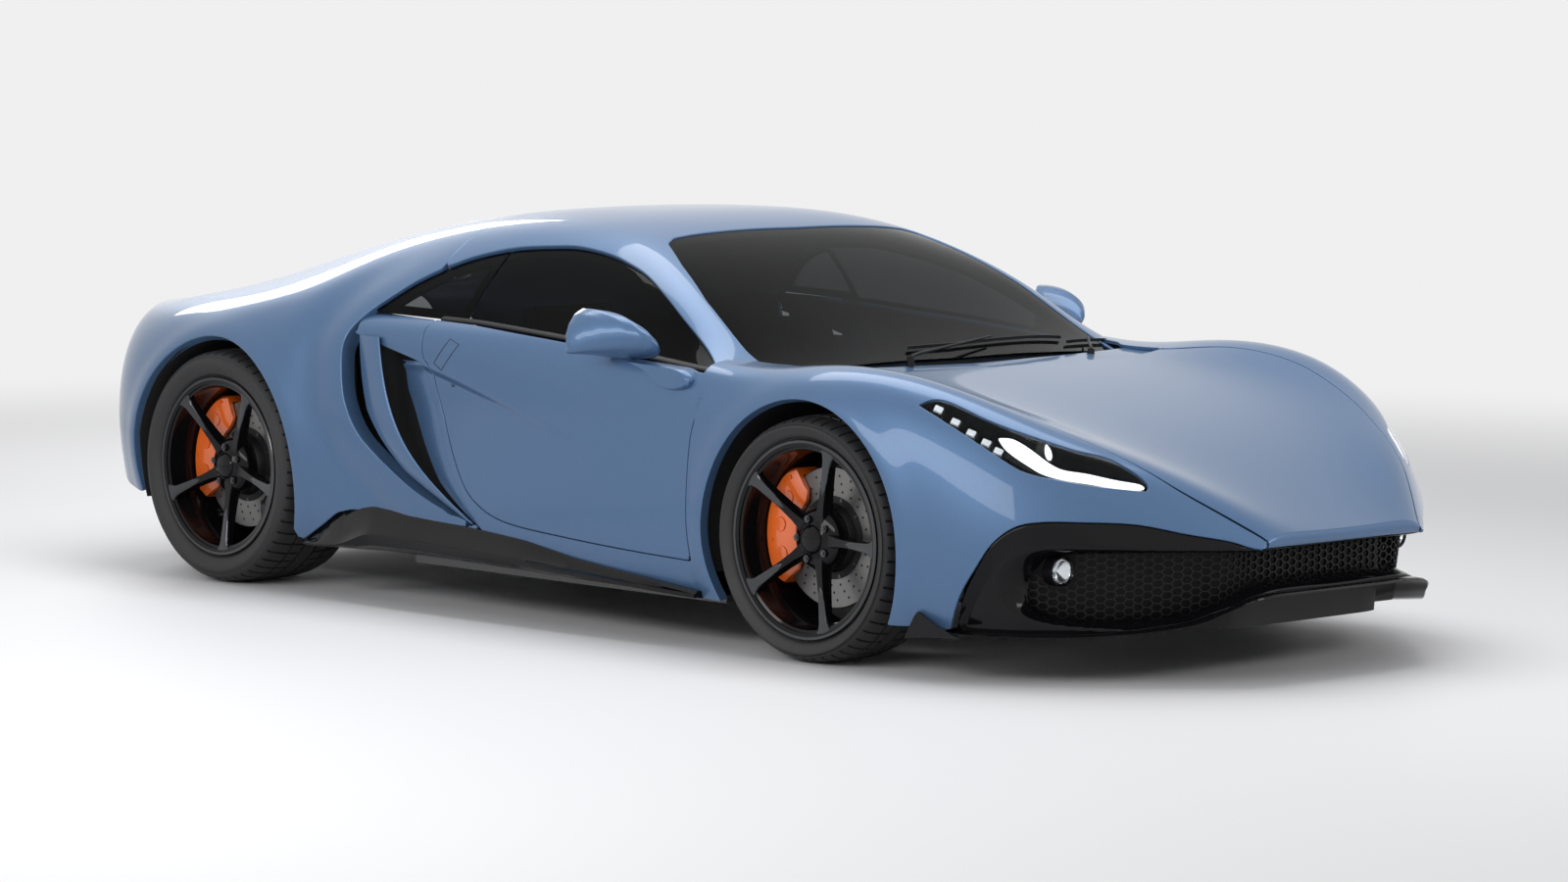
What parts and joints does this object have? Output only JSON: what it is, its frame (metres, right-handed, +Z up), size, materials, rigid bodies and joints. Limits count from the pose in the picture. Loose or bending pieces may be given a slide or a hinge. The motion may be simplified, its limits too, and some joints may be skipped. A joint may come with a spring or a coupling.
{
  "type": "mid-engined supercar",
  "caption": "Two-seat mid-engined coupe supercar with steered front wheels, hinged doors, front bonnet and engine lid, and side intakes behind the doors.",
  "frame": {"origin": "on the ground, at the middle of the car's length and width", "axes": "+X forward to the nose, +Y to the car's left, +Z up"},
  "size_m": [4.373, 2, 1.15],
  "materials": {
    "blue_paint": "metallic clear-coated gloss",
    "black_gloss": "gloss",
    "black_satin": "satin",
    "clear_cover": "clear",
    "dark_glass": "tinted",
    "lamp_metal": "bright",
    "red_lens": "gloss",
    "pipe_metal": "satin",
    "cabin_leather": "grained",
    "cabin_trim": "matt",
    "engine_metal": "cast",
    "arm_metal": "coated",
    "caliper_orange": "gloss",
    "disc_metal": "machined",
    "rim_black": "gloss with machined faces",
    "tyre_rubber": "matt"
  },
  "bodies": {
    "body": {"tub": "black_satin", "front_body": "blue_paint", "front_valance": "black_gloss", "front_grille": "black_gloss", "lamp_housings": "lamp_metal", "lamp_covers": "clear_cover", "cowl": "black_satin", "roof_frame": "blue_paint", "fixed_glass": "dark_glass", "side_panels": "blue_paint", "side_skirts": "black_gloss", "inner_liners": "black_satin", "rear_body": "blue_paint", "rear_grille": "black_gloss", "tail_lamps": "red_lens", "diffuser": "black_gloss", "exhaust_pipes": "pipe_metal", "seats": "cabin_leather", "dashboard": "cabin_trim", "engine_block": "engine_metal", "suspension": "arm_metal", "calipers_rear": "caliper_orange"},
    "bonnet": {"bonnet": "blue_paint"},
    "engine_lid": {"engine_lid": "blue_paint"},
    "door_left": {"door_left": "blue_paint", "door_glass_left": "dark_glass", "mirror_left": "blue_paint"},
    "door_right": {"door_right": "blue_paint", "door_glass_right": "dark_glass", "mirror_right": "blue_paint"},
    "steering_wheel": {"steering_wheel": "cabin_leather"},
    "knuckle_left": {"knuckle_left": "arm_metal", "caliper_front_left": "caliper_orange"},
    "knuckle_right": {"knuckle_right": "arm_metal", "caliper_front_right": "caliper_orange"},
    "wheel_front_left": {"tyre_front_left": "tyre_rubber", "rim_front_left": "rim_black", "disc_front_left": "disc_metal"},
    "wheel_front_right": {"tyre_front_right": "tyre_rubber", "rim_front_right": "rim_black", "disc_front_right": "disc_metal"},
    "wheel_rear_left": {"tyre_rear_left": "tyre_rubber", "rim_rear_left": "rim_black", "disc_rear_left": "disc_metal"},
    "wheel_rear_right": {"tyre_rear_right": "tyre_rubber", "rim_rear_right": "rim_black", "disc_rear_right": "disc_metal"}
  },
  "joints": [
    {"name": "steer_left", "type": "hinge", "parent": "body", "child": "knuckle_left", "pos_m": [1.055, 0.715, 0.33], "axis": [0, 0, 1], "range_deg": [-30, 30]},
    {"name": "steer_right", "type": "hinge", "parent": "body", "child": "knuckle_right", "pos_m": [1.055, -0.715, 0.33], "axis": [0, 0, 1], "range_deg": [-30, 30]},
    {"name": "steering_turn", "type": "hinge", "parent": "body", "child": "steering_wheel", "pos_m": [0.355, -0.345, 0.64], "axis": [-0.9292, 0, 0.3697], "range_deg": [-420, 420]},
    {"name": "door_left_swing", "type": "hinge", "parent": "body", "child": "door_left", "pos_m": [0.604, 0.902, 0.5], "axis": [0, 0, -1], "range_deg": [0, 65]},
    {"name": "door_right_swing", "type": "hinge", "parent": "body", "child": "door_right", "pos_m": [0.604, -0.902, 0.5], "axis": [0, 0, 1], "range_deg": [0, 65]},
    {"name": "bonnet_lift", "type": "hinge", "parent": "body", "child": "bonnet", "pos_m": [0.957, 0, 0.765], "axis": [0, -1, 0], "range_deg": [0, 55]},
    {"name": "engine_lid_lift", "type": "hinge", "parent": "body", "child": "engine_lid", "pos_m": [-0.657, 0, 1.14], "axis": [0, 1, 0], "range_deg": [0, 50]},
    {"name": "spin_front_left", "type": "hinge", "parent": "knuckle_left", "child": "wheel_front_left", "pos_m": [1.055, 0.8, 0.33], "axis": [0, 1, 0], "continuous": true},
    {"name": "spin_front_right", "type": "hinge", "parent": "knuckle_right", "child": "wheel_front_right", "pos_m": [1.055, -0.8, 0.33], "axis": [0, 1, 0], "continuous": true},
    {"name": "spin_rear_left", "type": "hinge", "parent": "body", "child": "wheel_rear_left", "pos_m": [-1.385, 0.8, 0.35], "axis": [0, 1, 0], "continuous": true},
    {"name": "spin_rear_right", "type": "hinge", "parent": "body", "child": "wheel_rear_right", "pos_m": [-1.385, -0.8, 0.35], "axis": [0, 1, 0], "continuous": true}
  ],
  "couplings": [
    {"joint": "steer_right", "follows": "steer_left", "ratio": 1},
    {"joint": "steering_turn", "follows": "steer_left", "ratio": 14}
  ]
}
